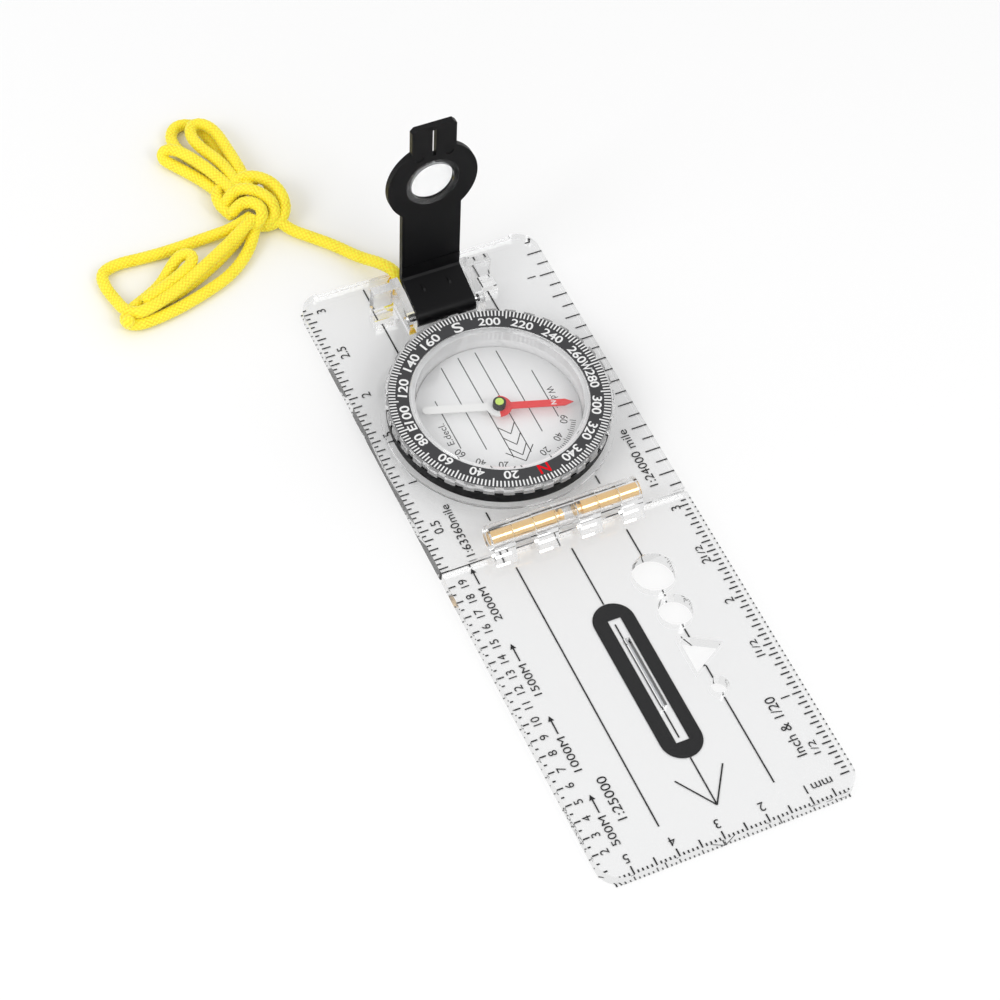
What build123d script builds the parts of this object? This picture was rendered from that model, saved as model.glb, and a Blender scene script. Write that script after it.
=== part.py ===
from build123d import *
import math
import os

# Baseplate compass with a folding rule plate, a folding sight and a neck lanyard.
# Millimetres.  +Z is up, +Y is the direction of travel, and +X is to the right of
# someone who looks down on the compass with +Y ahead.  The origin is on the
# underside of the base plate, below the centre of the dial.

# ---------------------------------------------------------------- driving dimensions

PLATE_HALF_WIDTH = 28.6
PLATE_THICKNESS = 3.0
CORNER_RADIUS = 5.0
SEAM_CORNER_RADIUS = 0.5
SEAM_CHAMFER = 0.4
BASE_REAR_Y = -45.65
BASE_FRONT_Y = 33.45
RULE_REAR_Y = 33.75
RULE_FRONT_Y = 112.2

REAR_LIP_WIDTH = 1.3
REAR_LIP_DROP = 0.6

# capsule housing
HOUSING_HOLE_RADIUS = 20.4
COLLAR_RADIUS = 25.6
COLLAR_TOP_Z = 3.8
RETAINER_RADIUS = 24.4
RETAINER_INNER_RADIUS = 21.2
RETAINER_LEDGE_RADIUS = 20.35
RETAINER_LEDGE_Z = 5.0
RETAINER_TOP_Z = 6.4
BEZEL_RADIUS = 24.1
BEZEL_TOOTH_RADIUS = 24.7
BEZEL_TOOTH_COUNT = 36
BEZEL_TOOTH_ANGLE = 5.6
BEZEL_BOTTOM_Z = 6.5
BEZEL_TOOTH_BOTTOM_Z = 6.7
BEZEL_TOP_Z = 8.6
BEZEL_SKIRT_RADIUS = 20.1
BEZEL_LIP_RADIUS = 21.0
BEZEL_LIP_Z = (3.95, 4.85)
CAPSULE_RADIUS = 19.5
CAPSULE_INNER_RADIUS = 18.3
CAPSULE_BOTTOM_Z = 0.5
CAPSULE_FLOOR_Z = 2.2
CAPSULE_WALL_TOP_Z = 7.6
LENS_TOP_Z = 9.0
LENS_BEVEL = 0.6
DIAL_INNER_RADIUS = 19.6
DIAL_OUTER_RADIUS = 24.0
DIAL_THICKNESS = 0.2
DISC_RADIUS = 18.1
DISC_THICKNESS = 0.6

# magnetic needle
PIVOT_RADIUS = 0.5
PIVOT_CONE_Z = 3.9
PIVOT_TIP_Z = 5.65
PIVOT_TIP_RADIUS = 0.12
NEEDLE_Z = (4.7, 4.95)
NEEDLE_RED_LENGTH = 16.3
NEEDLE_RED_WIDTH = 1.75
NEEDLE_RED_TAPER = 1.9
NEEDLE_WHITE_LENGTH = 16.7
NEEDLE_WHITE_WIDTH = 2.0
NEEDLE_BOSS_RADIUS = 2.8
NEEDLE_HEADING = 162.6
JEWEL_RADIUS = 0.8
JEWEL_TOP_Z = 5.95
JEWEL_MOUTH_RADIUS = 0.55
JEWEL_TIP_RADIUS = 0.17
JEWEL_TIP_Z = 5.7
HUB_RADIUS = 1.43
HUB_TOP_Z = 6.4
DOT_RADIUS = 0.92
DOT_THICKNESS = 0.15

# hinge between the two plates
HINGE_Y = 31.8
HINGE_Z = 6.7
KNUCKLE_RADIUS = 2.9
KNUCKLE_COUNT = 7
KNUCKLE_PITCH = 4.943
KNUCKLE_GAP = 0.15
PIN_RADIUS = 1.5
BASE_BORE_RADIUS = 1.51
RULE_BORE_RADIUS = 1.55
PIN_NECK_RADIUS = 0.9
PIN_CAP_RADIUS = 1.25
PIN_NECK_LENGTH = 0.7
PIN_CAP_LENGTH = 0.8
PIN_OUTER_X = 17.0
LEFT_PIN_INNER_X = 0.4
RIGHT_PIN_INNER_X = -2.4
BASE_WEB_Y = (28.9, 32.6)
RULE_LEG_Y = (33.75, 36.9)

# sight hinge ears
SIGHT_Y = -29.5
SIGHT_Z = 5.6
EAR_X = (7.35, 9.2)
EAR_REAR_Y = -38.6
EAR_TOP_Z = 9.3
EAR_SHOULDER_Y = -33.8
EAR_NOSE_RADIUS = 2.4
EAR_BORE_RADIUS = 0.95
GUSSET_OUTER_X = 14.2
GUSSET_Y = (-37.9, -35.7)
GUSSET_TOP_Z = 9.2
WINDOW_X = (9.4, 14.9)
WINDOW_Y = (-35.6, -32.3)

# folding sight
ARM_HALF_WIDTH = 6.95
BARREL_RADIUS = 2.35
TRUNNION_RADIUS = 0.9
TRUNNION_END_X = 8.3
BLADE_FOOT_Y = -37.0
BLADE_FOOT_Z = 10.3
BLADE_LEAN = 4.15
BLADE_THICKNESS = 1.4
RING_CENTRE_X = 0.15
RING_HEIGHT = 26.75
RING_RADIUS = 10.5
RING_RIM_RADIUS = 6.2
RING_CLEAR_RADIUS = 5.0
RING_LEDGE = 0.3
SIGHT_LENS_THICKNESS = 0.6
TAB_CENTRE_X = 0.35
TAB_HALF_WIDTH = 5.15
TAB_HEIGHT = 42.8
TAB_CHAMFER = 0.8
SLIT_WIDTH = 0.85
SLIT_HEIGHTS = (34.4, 41.6)
NOTCH_RADIUS = 1.1
NOTCH_X = 3.5
NOTCH_HEIGHT = 34.7
NOTCH_DEPTH = 0.15
STEP_DEPTH = 0.15
RIB_X = 3.1
RIB_WIDTH = 0.5

# openings of the rule plate
TEMPLATE_X = -12.7
TEMPLATE_HOLES = ((50.2, 4.7), (60.3, 3.8), (80.0, 2.0))
TRIANGLE_BACK_X = -9.8
TRIANGLE_TIP_X = -18.1
TRIANGLE_Y = 71.0
TRIANGLE_HALF_SIDE = 4.8
SLOT_HALF_WIDTH = 0.65
SLOT_Y = (62.7, 80.3)
WIRE_RADIUS = 0.175
WIRE_Z = 2.6

# lanyard
CORD_DIAMETER = 2.8
CORD_HOLE = (4.6, -42.4)
CORD_HOLE_RADIUS = 1.95
STOP_POCKET_RADIUS = 3.2
STOP_POCKET_DEPTH = 1.4
STOP_RADIUS = 2.9
STOP_BOTTOM_Z = 0.2
LEAD_ROUTE = (
    (4.4, -41.9, 0.6),
    (4.9, -43.0, 4.8),
    (7.2, -47.8, 4.2),
    (10.3, -53.0, 1.9),
    (14.0, -58.8, 1.45),
    (18.2, -63.3, 1.4),
    (21.6, -66.8, 1.5),
    (23.9, -70.9, 3.0),
    (25.0, -73.6, 4.2),
)
BEND_SHARE = 0.45
KNOT_CENTRE = (26.9, -75.6, 4.4)
KNOT_SEMI_AXES = (8.6, 6.8, 4.4)
KNOT_HEADING = -35
HANK_HEIGHT = 5.6
HANK_EDGE_RADIUS = 1.2
UPPER_HANK = (
    (24.6, -79.0),
    (24.9, -93.0),
    (27.2, -102.4),
    (31.5, -107.2),
    (36.0, -106.0),
    (38.6, -101.0),
    (41.4, -97.8),
    (38.5, -92.2),
    (33.4, -80.0),
)
LOWER_HANK = (
    (31.0, -73.2),
    (47.0, -72.4),
    (62.0, -72.8),
    (66.4, -71.2),
    (67.3, -66.0),
    (66.0, -60.5),
    (67.0, -53.6),
    (65.0, -51.6),
    (60.0, -51.7),
    (51.0, -53.2),
    (43.0, -55.6),
    (36.5, -58.6),
    (31.4, -62.8),
    (28.0, -68.5),
)


# ---------------------------------------------------------------- shared shapes

def block(x_range, y_range, z_range):
    """Box between two corners."""
    size = [high - low for low, high in (x_range, y_range, z_range)]
    centre = [(high + low) / 2 for low, high in (x_range, y_range, z_range)]
    return Pos(*centre) * Box(*size)


def disc(radius, z_low, z_high, centre=(0, 0)):
    """Upright cylinder."""
    middle = Pos(centre[0], centre[1], (z_low + z_high) / 2)
    return middle * Cylinder(radius, z_high - z_low)


def ring(outer, inner, z_low, z_high):
    """Upright tube about the dial axis."""
    return disc(outer, z_low, z_high) - disc(inner, z_low - 1, z_high + 1)


def rod_x(radius, x_low, x_high, y, z):
    """Cylinder that lies along X."""
    middle = Pos((x_low + x_high) / 2, y, z)
    return middle * Rot(0, 90, 0) * Cylinder(radius, x_high - x_low)


def prism_x(points, x_low, x_high):
    """Outline in the YZ plane, extruded along X."""
    face = make_face(Polyline(*points, close=True))
    return extrude(Plane.YZ.offset(x_low) * face, amount=x_high - x_low)


def prism_z(points, z_low, z_high):
    """Outline in the XY plane, extruded along Z."""
    face = make_face(Polyline(*points, close=True))
    return extrude(Plane.XY.offset(z_low) * face, amount=z_high - z_low)


def tangent_point(centre, radius, point, side):
    """Where the line from a point touches a circle; side is +1 or -1."""
    dx = point[0] - centre[0]
    dy = point[1] - centre[1]
    angle = math.atan2(dy, dx) + side * math.acos(radius / math.hypot(dx, dy))
    return (centre[0] + radius * math.cos(angle), centre[1] + radius * math.sin(angle))


def plate(y_low, y_high, sharp_y):
    """Flat plate whose corners are small at sharp_y and round at the other end."""
    middle = (y_low + y_high) / 2
    outline = Pos(0, middle) * Rectangle(2 * PLATE_HALF_WIDTH, y_high - y_low)
    outer = [v for v in outline.vertices() if abs(v.Y - sharp_y) >= 0.01]
    outline = fillet(outer, CORNER_RADIUS)
    seam = [v for v in outline.vertices() if abs(v.Y - sharp_y) < 0.01]
    outline = fillet(seam, SEAM_CORNER_RADIUS)
    return extrude(outline, amount=PLATE_THICKNESS)


def seam_chamfer(y_edge, into):
    """Wedge that bevels a plate's top edge at the seam; into is +1 or -1 along Y."""
    top = PLATE_THICKNESS
    points = [
        (y_edge + into * SEAM_CHAMFER, top),
        (y_edge - into * SEAM_CHAMFER, top + 2 * SEAM_CHAMFER),
        (y_edge - into * SEAM_CHAMFER, top - 2 * SEAM_CHAMFER),
        (y_edge, top - SEAM_CHAMFER),
    ]
    return prism_x(points, -PLATE_HALF_WIDTH - 1, PLATE_HALF_WIDTH + 1)


def knuckle_span(index):
    """Ends of one hinge knuckle along X; index 0 is at +X."""
    first = KNUCKLE_PITCH * KNUCKLE_COUNT / 2
    high = first - index * KNUCKLE_PITCH - KNUCKLE_GAP / 2
    low = first - (index + 1) * KNUCKLE_PITCH + KNUCKLE_GAP / 2
    return low, high


# ---------------------------------------------------------------- plates

def base_knuckle(index):
    """Knuckle on an upright web at the front of the base plate."""
    low, high = knuckle_span(index)
    web = prism_x(
        [
            (BASE_WEB_Y[0], PLATE_THICKNESS - 0.1),
            (BASE_WEB_Y[1], PLATE_THICKNESS - 0.1),
            (BASE_WEB_Y[1], HINGE_Z),
            (BASE_WEB_Y[0], HINGE_Z),
        ],
        low,
        high,
    )
    return rod_x(KNUCKLE_RADIUS, low, high, HINGE_Y, HINGE_Z) + web


def rule_knuckle(index):
    """Knuckle on a leg that reaches back from the rule plate."""
    low, high = knuckle_span(index)
    centre = (HINGE_Y, HINGE_Z)
    toe = (RULE_LEG_Y[1], PLATE_THICKNESS - 0.1)
    touch = tangent_point(centre, KNUCKLE_RADIUS, toe, 1)
    leg = prism_x(
        [(RULE_LEG_Y[0], toe[1]), toe, touch, centre, (RULE_LEG_Y[0], HINGE_Z - 1.2)],
        low,
        high,
    )
    return rod_x(KNUCKLE_RADIUS, low, high, HINGE_Y, HINGE_Z) + leg


def sight_ear(side):
    """Fin with the sight's pivot hole, and the gusset beside it; side is +1 or -1."""
    pivot = (SIGHT_Y, SIGHT_Z)
    root_z = PLATE_THICKNESS - 0.1
    shoulder = (EAR_SHOULDER_Y, EAR_TOP_Z - 0.1)
    touch = tangent_point(pivot, EAR_NOSE_RADIUS, shoulder, -1)
    nose_y = SIGHT_Y + EAR_NOSE_RADIUS
    outline = [
        (EAR_REAR_Y, root_z),
        (EAR_REAR_Y, EAR_TOP_Z),
        shoulder,
        touch,
        pivot,
        (nose_y, SIGHT_Z),
        (nose_y, root_z),
    ]
    low, high = sorted((side * EAR_X[0], side * EAR_X[1]))
    fin = prism_x(outline, low, high)
    fin += rod_x(EAR_NOSE_RADIUS, low, high, SIGHT_Y, SIGHT_Z)
    gusset_x = sorted((side * EAR_X[1] - side * 0.1, side * GUSSET_OUTER_X))
    return fin + block(gusset_x, GUSSET_Y, (root_z, GUSSET_TOP_Z))


def make_base_plate():
    body = plate(BASE_REAR_Y, BASE_FRONT_Y, BASE_FRONT_Y)
    body -= seam_chamfer(BASE_FRONT_Y, -1)
    body -= prism_x(
        [
            (BASE_REAR_Y - 1, PLATE_THICKNESS - REAR_LIP_DROP),
            (BASE_REAR_Y + REAR_LIP_WIDTH - 0.3, PLATE_THICKNESS - REAR_LIP_DROP),
            (BASE_REAR_Y + REAR_LIP_WIDTH, PLATE_THICKNESS + 1),
            (BASE_REAR_Y - 1, PLATE_THICKNESS + 1),
        ],
        CORNER_RADIUS - PLATE_HALF_WIDTH,
        PLATE_HALF_WIDTH - CORNER_RADIUS,
    )
    body += disc(COLLAR_RADIUS, PLATE_THICKNESS - 0.1, COLLAR_TOP_Z)
    body -= disc(HOUSING_HOLE_RADIUS, -1, COLLAR_TOP_Z + 1)
    for side in (1, -1):
        body += sight_ear(side)
        body -= block(
            sorted((side * WINDOW_X[0], side * WINDOW_X[1])),
            WINDOW_Y,
            (-1, PLATE_THICKNESS + 1),
        )
    body -= rod_x(EAR_BORE_RADIUS, -EAR_X[1] - 1, EAR_X[1] + 1, SIGHT_Y, SIGHT_Z)
    for index in range(1, KNUCKLE_COUNT, 2):
        body += base_knuckle(index)
    body -= rod_x(BASE_BORE_RADIUS, -PIN_OUTER_X - 1, PIN_OUTER_X + 1, HINGE_Y, HINGE_Z)
    body -= disc(CORD_HOLE_RADIUS, -1, PLATE_THICKNESS + 1, CORD_HOLE)
    body -= disc(STOP_POCKET_RADIUS, -1, STOP_POCKET_DEPTH, CORD_HOLE)
    return body


def make_rule_plate():
    body = plate(RULE_REAR_Y, RULE_FRONT_Y, RULE_REAR_Y)
    body -= seam_chamfer(RULE_REAR_Y, 1)
    for index in range(0, KNUCKLE_COUNT, 2):
        body += rule_knuckle(index)
    end_x = KNUCKLE_PITCH * KNUCKLE_COUNT / 2 + 1
    body -= rod_x(RULE_BORE_RADIUS, -end_x, end_x, HINGE_Y, HINGE_Z)
    for y, radius in TEMPLATE_HOLES:
        body -= disc(radius, -1, PLATE_THICKNESS + 1, (TEMPLATE_X, y))
    triangle = [
        (TRIANGLE_BACK_X, TRIANGLE_Y - TRIANGLE_HALF_SIDE),
        (TRIANGLE_BACK_X, TRIANGLE_Y + TRIANGLE_HALF_SIDE),
        (TRIANGLE_TIP_X, TRIANGLE_Y),
    ]
    body -= prism_z(triangle, -1, PLATE_THICKNESS + 1)
    body -= block((-SLOT_HALF_WIDTH, SLOT_HALF_WIDTH), SLOT_Y, (-1, PLATE_THICKNESS + 1))
    return body


def make_sighting_wire():
    """Fine wire stretched along the sighting slot, from one end face to the other."""
    length = SLOT_Y[1] - SLOT_Y[0]
    middle = Pos(0, (SLOT_Y[0] + SLOT_Y[1]) / 2, WIRE_Z)
    return middle * Rot(90, 0, 0) * Cylinder(WIRE_RADIUS, length)


def make_hinge_pin(outer_x, inner_x):
    """Pin whose inner end has a neck and then a small cap."""
    toward = 1 if inner_x > outer_x else -1
    neck_x = inner_x - toward * PIN_CAP_LENGTH
    shank_x = neck_x - toward * PIN_NECK_LENGTH
    shank = rod_x(PIN_RADIUS, *sorted((outer_x, shank_x)), HINGE_Y, HINGE_Z)
    neck = rod_x(PIN_NECK_RADIUS, *sorted((shank_x, neck_x)), HINGE_Y, HINGE_Z)
    cap = rod_x(PIN_CAP_RADIUS, *sorted((neck_x, inner_x)), HINGE_Y, HINGE_Z)
    return shank + neck + cap


# ---------------------------------------------------------------- dial and capsule

def make_retaining_ring():
    """Black ring on the collar; its inner ledge holds the bezel's lip down."""
    body = ring(RETAINER_RADIUS, RETAINER_LEDGE_RADIUS, COLLAR_TOP_Z, RETAINER_TOP_Z)
    groove = ring(
        RETAINER_INNER_RADIUS,
        RETAINER_LEDGE_RADIUS - 1,
        COLLAR_TOP_Z - 1,
        RETAINER_LEDGE_Z,
    )
    return body - groove


def bezel_tooth(index):
    """One grip tooth of the rim."""
    half = BEZEL_TOOTH_ANGLE / 2
    middle = index * 360 / BEZEL_TOOTH_COUNT
    wedge = [
        (BEZEL_RADIUS - 0.6, math.radians(middle - half)),
        (BEZEL_TOOTH_RADIUS + 1, math.radians(middle - half)),
        (BEZEL_TOOTH_RADIUS + 1, math.radians(middle + half)),
        (BEZEL_RADIUS - 0.6, math.radians(middle + half)),
    ]
    points = [(r * math.cos(a), r * math.sin(a)) for r, a in wedge]
    return prism_z(points, BEZEL_TOOTH_BOTTOM_Z, BEZEL_TOP_Z)


def make_bezel():
    teeth = bezel_tooth(0)
    for index in range(1, BEZEL_TOOTH_COUNT):
        teeth += bezel_tooth(index)
    teeth &= disc(BEZEL_TOOTH_RADIUS, BEZEL_TOOTH_BOTTOM_Z, BEZEL_TOP_Z)
    body = ring(BEZEL_RADIUS, CAPSULE_RADIUS, BEZEL_BOTTOM_Z, BEZEL_TOP_Z) + teeth
    body += ring(BEZEL_SKIRT_RADIUS, CAPSULE_RADIUS, CAPSULE_BOTTOM_Z, BEZEL_BOTTOM_Z + 0.1)
    body += ring(BEZEL_LIP_RADIUS, CAPSULE_RADIUS, *BEZEL_LIP_Z)
    return body


def make_dial_ring():
    return ring(DIAL_OUTER_RADIUS, DIAL_INNER_RADIUS, BEZEL_TOP_Z, BEZEL_TOP_Z + DIAL_THICKNESS)


def make_capsule_cup():
    body = disc(CAPSULE_RADIUS, CAPSULE_BOTTOM_Z, CAPSULE_WALL_TOP_Z)
    return body - disc(CAPSULE_INNER_RADIUS, CAPSULE_FLOOR_Z, CAPSULE_WALL_TOP_Z + 1)


def make_capsule_lens():
    body = disc(CAPSULE_RADIUS, CAPSULE_WALL_TOP_Z, LENS_TOP_Z)
    top_edge = body.edges().sort_by(Axis.Z)[-1]
    return chamfer(top_edge, LENS_BEVEL)


def make_orienting_disc():
    return disc(DISC_RADIUS, CAPSULE_FLOOR_Z, CAPSULE_FLOOR_Z + DISC_THICKNESS)


def make_pivot_post():
    """Hardened post with a pointed tip."""
    bottom = CAPSULE_FLOOR_Z + DISC_THICKNESS
    cone_height = PIVOT_TIP_Z - PIVOT_CONE_Z
    cone = Pos(0, 0, PIVOT_CONE_Z + cone_height / 2) * Cone(
        PIVOT_RADIUS, PIVOT_TIP_RADIUS, cone_height
    )
    return disc(PIVOT_RADIUS, bottom, PIVOT_CONE_Z) + cone


def make_jewel_bearing():
    """Cup that rides on the post's tip."""
    height = JEWEL_TIP_Z - NEEDLE_Z[1]
    recess = Pos(0, 0, NEEDLE_Z[1] + height / 2) * Cone(
        JEWEL_MOUTH_RADIUS, JEWEL_TIP_RADIUS, height
    )
    return disc(JEWEL_RADIUS, NEEDLE_Z[1], JEWEL_TOP_Z) - recess


def make_needle():
    """Flat needle: pointed red half, round-ended white half and a round middle."""
    red = NEEDLE_RED_WIDTH / 2
    white = NEEDLE_WHITE_WIDTH / 2
    z_low, z_high = NEEDLE_Z
    body = disc(NEEDLE_BOSS_RADIUS, z_low, z_high)
    body += prism_z(
        [
            (0, -red),
            (NEEDLE_RED_LENGTH - NEEDLE_RED_TAPER, -red),
            (NEEDLE_RED_LENGTH, 0),
            (NEEDLE_RED_LENGTH - NEEDLE_RED_TAPER, red),
            (0, red),
        ],
        z_low,
        z_high,
    )
    tail_x = white - NEEDLE_WHITE_LENGTH
    body += block((tail_x, 0), (-white, white), (z_low, z_high))
    body += disc(white, z_low, z_high, (tail_x, 0))
    body -= disc(JEWEL_RADIUS - 0.1, z_low - 1, z_high + 1)
    return Rot(0, 0, NEEDLE_HEADING) * body


def make_needle_hub():
    body = disc(HUB_RADIUS, NEEDLE_Z[1], HUB_TOP_Z)
    return body - disc(JEWEL_RADIUS, NEEDLE_Z[1] - 1, JEWEL_TOP_Z)


def make_luminous_dot():
    return disc(DOT_RADIUS, HUB_TOP_Z, HUB_TOP_Z + DOT_THICKNESS)


# ---------------------------------------------------------------- folding sight

lean = math.radians(BLADE_LEAN)
BLADE_PLANE = Plane(
    origin=(0, BLADE_FOOT_Y, BLADE_FOOT_Z),
    x_dir=(-1, 0, 0),
    z_dir=(0, math.cos(lean), math.sin(lean)),
)
EYE_CENTRE = Pos(RING_CENTRE_X, RING_HEIGHT)


def on_blade(shape, depth=0):
    """Shape drawn on the blade's front face, set back by depth."""
    return BLADE_PLANE.offset(-depth) * shape


def blade_outline():
    """Face of the blade: a straight stem, a round eye and a square-topped tab."""
    overlap = 0.4
    stem = Pos(0, (RING_HEIGHT - overlap) / 2) * Rectangle(
        2 * ARM_HALF_WIDTH, RING_HEIGHT + overlap
    )
    eye = EYE_CENTRE * Circle(RING_RADIUS)
    tab = make_face(
        Polyline(
            (-TAB_HALF_WIDTH, RING_HEIGHT),
            (TAB_HALF_WIDTH, RING_HEIGHT),
            (TAB_HALF_WIDTH, TAB_HEIGHT - TAB_CHAMFER),
            (TAB_HALF_WIDTH - TAB_CHAMFER, TAB_HEIGHT),
            (TAB_CHAMFER - TAB_HALF_WIDTH, TAB_HEIGHT),
            (-TAB_HALF_WIDTH, TAB_HEIGHT - TAB_CHAMFER),
            close=True,
        )
    )
    return stem + eye + Pos(TAB_CENTRE_X, 0) * tab


def foot_outline():
    """Side view of the foot between the barrel and the blade."""
    pivot = (SIGHT_Y, SIGHT_Z)
    upper_knee = (-33.6, 9.1)
    lower_knee = (-33.7, 7.4)
    return [
        tangent_point(pivot, BARREL_RADIUS, upper_knee, -1),
        upper_knee,
        (-36.5, 9.9),
        (BLADE_FOOT_Y, BLADE_FOOT_Z),
        (BLADE_FOOT_Y - BLADE_THICKNESS, BLADE_FOOT_Z - 0.1),
        (BLADE_FOOT_Y - 1.1, 8.9),
        (-36.6, 8.2),
        lower_knee,
        tangent_point(pivot, BARREL_RADIUS, lower_knee, 1),
        pivot,
    ]


def blade_step():
    """Thin raised skin on the stem, whose lower edge is a shallow arc."""
    edge_height = 0.9
    sag = 0.6
    half = ARM_HALF_WIDTH
    arc = ThreePointArc((-half, edge_height + sag), (0, edge_height), (half, edge_height + sag))
    sides = Polyline(
        (half, edge_height + sag),
        (half, 3.4),
        (-half, 3.4),
        (-half, edge_height + sag),
    )
    return extrude(on_blade(make_face([arc, sides])), amount=STEP_DEPTH)


def foot_ribs():
    """Two short ribs across the bend in the foot."""
    ribs = []
    for side in (1, -1):
        x_range = (side * RIB_X - RIB_WIDTH / 2, side * RIB_X + RIB_WIDTH / 2)
        outline = [(-32.7, 8.0), (-32.7, 8.75), (-33.5, 9.35), (-34.6, 9.65), (-34.6, 8.6)]
        ribs.append(prism_x(outline, *x_range))
    return ribs


def make_sight_arm():
    body = rod_x(BARREL_RADIUS, -ARM_HALF_WIDTH, ARM_HALF_WIDTH, SIGHT_Y, SIGHT_Z)
    body += rod_x(TRUNNION_RADIUS, -TRUNNION_END_X, TRUNNION_END_X, SIGHT_Y, SIGHT_Z)
    body += prism_x(foot_outline(), -ARM_HALF_WIDTH, ARM_HALF_WIDTH)
    body += extrude(on_blade(blade_outline()), amount=-BLADE_THICKNESS)
    body += blade_step()
    for rib in foot_ribs():
        body += rib
    opening = EYE_CENTRE * Circle(RING_CLEAR_RADIUS)
    body -= extrude(on_blade(opening), amount=-2 * BLADE_THICKNESS)
    rim_depth = BLADE_THICKNESS - RING_LEDGE
    body -= extrude(on_blade(EYE_CENTRE * Circle(RING_RIM_RADIUS)), amount=-rim_depth)
    slit_middle = Pos(TAB_CENTRE_X, sum(SLIT_HEIGHTS) / 2)
    slit = slit_middle * Rectangle(SLIT_WIDTH, SLIT_HEIGHTS[1] - SLIT_HEIGHTS[0])
    body -= extrude(on_blade(slit), amount=-2 * BLADE_THICKNESS)
    for x in (NOTCH_X, -NOTCH_X):
        mark = Pos(TAB_CENTRE_X + x, NOTCH_HEIGHT) * Circle(NOTCH_RADIUS)
        body -= extrude(on_blade(mark), amount=-NOTCH_DEPTH)
    return body


def make_sight_lens():
    """Clear window that rests on the ledge inside the eye."""
    back = BLADE_THICKNESS - RING_LEDGE
    face = EYE_CENTRE * Circle(RING_RIM_RADIUS)
    return extrude(on_blade(face, back), amount=SIGHT_LENS_THICKNESS)


def make_lens_ring():
    """Snap ring that keeps the window in the eye."""
    back = BLADE_THICKNESS - RING_LEDGE - SIGHT_LENS_THICKNESS
    face = Circle(RING_RIM_RADIUS) - Circle(RING_CLEAR_RADIUS)
    return extrude(on_blade(EYE_CENTRE * face, back), amount=back)


# ---------------------------------------------------------------- lanyard

def bend_radii(route):
    """Largest easy radius at each inner point of a cord's route."""
    radii = []
    for before, point, after in zip(route, route[1:], route[2:]):
        arriving = Vector(*point) - Vector(*before)
        leaving = Vector(*after) - Vector(*point)
        half_turn = math.radians(arriving.get_angle(leaving)) / 2
        run = min(arriving.length, leaving.length)
        radii.append(BEND_SHARE * run / math.tan(half_turn))
    return radii


def make_lanyard_lead():
    """Cord from its stop in the pocket, up through the hole and down to the knot."""
    radii = bend_radii(LEAD_ROUTE)
    path = FilletPolyline(*LEAD_ROUTE, radius=radii)
    start = Plane(origin=path @ 0, z_dir=path % 0)
    tube = sweep(start * Circle(CORD_DIAMETER / 2), path=path)
    expected = math.pi * (CORD_DIAMETER / 2) ** 2 * path.length
    print("lead radii", [round(radius, 1) for radius in radii])
    print("lead length", round(path.length, 1), "volume ratio", round(tube.volume / expected, 4))
    return tube


def make_lanyard_stop():
    """Melted end of the cord, wider than the hole it hangs below."""
    return disc(STOP_RADIUS, STOP_BOTTOM_Z, STOP_POCKET_DEPTH, CORD_HOLE)


def make_lanyard_knot():
    return Pos(*KNOT_CENTRE) * Rot(0, 0, KNOT_HEADING) * scale(Sphere(1), by=KNOT_SEMI_AXES)


def make_hank(outline):
    """Plain solid of the room that a folded bundle of cord takes up."""
    body = prism_z(outline, 0, HANK_HEIGHT)
    return fillet(body.edges().group_by(Axis.Z)[-1], HANK_EDGE_RADIUS)


# ---------------------------------------------------------------- parts

PARTS = {
    "base_plate": make_base_plate(),
    "rule_plate": make_rule_plate(),
    "sighting_wire": make_sighting_wire(),
    "hinge_pin_left": make_hinge_pin(PIN_OUTER_X, LEFT_PIN_INNER_X),
    "hinge_pin_right": make_hinge_pin(-PIN_OUTER_X, RIGHT_PIN_INNER_X),
    "retaining_ring": make_retaining_ring(),
    "bezel": make_bezel(),
    "dial_ring": make_dial_ring(),
    "capsule_cup": make_capsule_cup(),
    "capsule_lens": make_capsule_lens(),
    "orienting_disc": make_orienting_disc(),
    "pivot_post": make_pivot_post(),
    "needle": make_needle(),
    "needle_hub": make_needle_hub(),
    "jewel_bearing": make_jewel_bearing(),
    "luminous_dot": make_luminous_dot(),
    "sight_arm": make_sight_arm(),
    "sight_lens": make_sight_lens(),
    "lens_ring": make_lens_ring(),
    "lanyard_stop": make_lanyard_stop(),
    "lanyard_lead": make_lanyard_lead(),
    "lanyard_knot": make_lanyard_knot(),
    "lanyard_upper_hank": make_hank(UPPER_HANK),
    "lanyard_lower_hank": make_hank(LOWER_HANK),
}

os.makedirs("parts", exist_ok=True)
for name, shape in PARTS.items():
    export_step(shape, f"parts/{name}.step")
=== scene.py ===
"""Looks of a clear baseplate compass: plastics, printing, brass, needle and braided lanyard."""

import math

import bmesh
import bpy
import numpy as np
from mathutils import Matrix, Vector


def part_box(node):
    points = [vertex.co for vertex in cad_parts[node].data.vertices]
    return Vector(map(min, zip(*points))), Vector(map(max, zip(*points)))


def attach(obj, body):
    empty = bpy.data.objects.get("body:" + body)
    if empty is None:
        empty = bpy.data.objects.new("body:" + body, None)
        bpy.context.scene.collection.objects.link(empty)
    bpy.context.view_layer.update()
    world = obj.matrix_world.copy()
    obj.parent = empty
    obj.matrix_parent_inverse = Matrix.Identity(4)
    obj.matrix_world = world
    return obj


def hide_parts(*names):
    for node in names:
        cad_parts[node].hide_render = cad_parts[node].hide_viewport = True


MM = 0.001

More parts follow.
